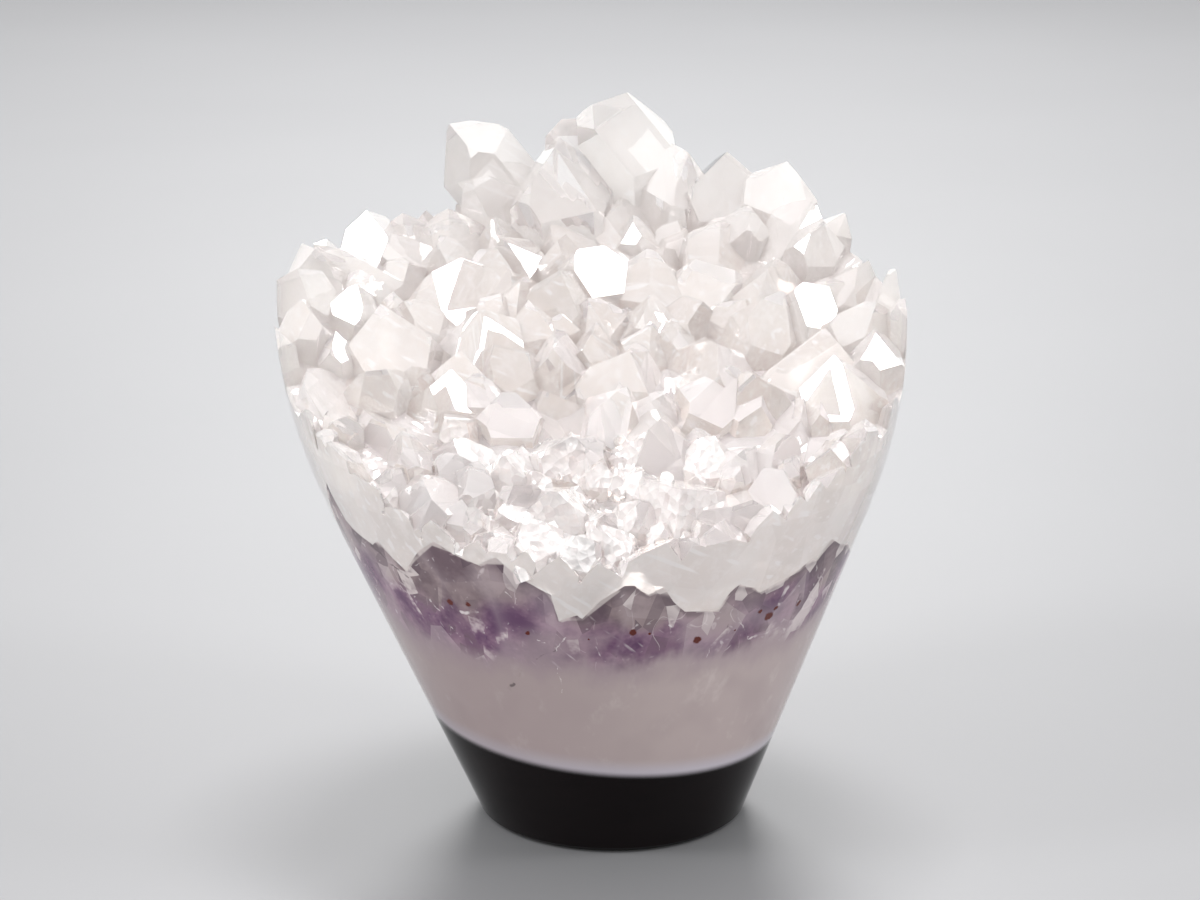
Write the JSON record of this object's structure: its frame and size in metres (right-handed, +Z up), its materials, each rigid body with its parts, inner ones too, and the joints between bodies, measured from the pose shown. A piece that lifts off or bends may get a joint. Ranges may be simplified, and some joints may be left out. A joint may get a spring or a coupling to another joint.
{
  "type": "flower amethyst cluster",
  "caption": "Free-standing natural stone: a polished round cone of banded amethyst and quartz that narrows to a flat foot, topped by a sloping bed of raw six-sided quartz crystals.",
  "frame": {"origin": "middle of the flat foot, in the plane that the stone stands on", "axes": "+Z up, -Y towards the front, where the crystal bed is lowest, +X to the right seen from the front"},
  "size_m": [0.0843, 0.0798, 0.0938],
  "materials": {
    "amethyst_quartz": "polished wall with a dark agate foot, a milky band and an amethyst band, and raw milky translucent crystals on top"
  },
  "bodies": {
    "root": {"amethyst_cluster": "amethyst_quartz"}
  },
  "joints": []
}
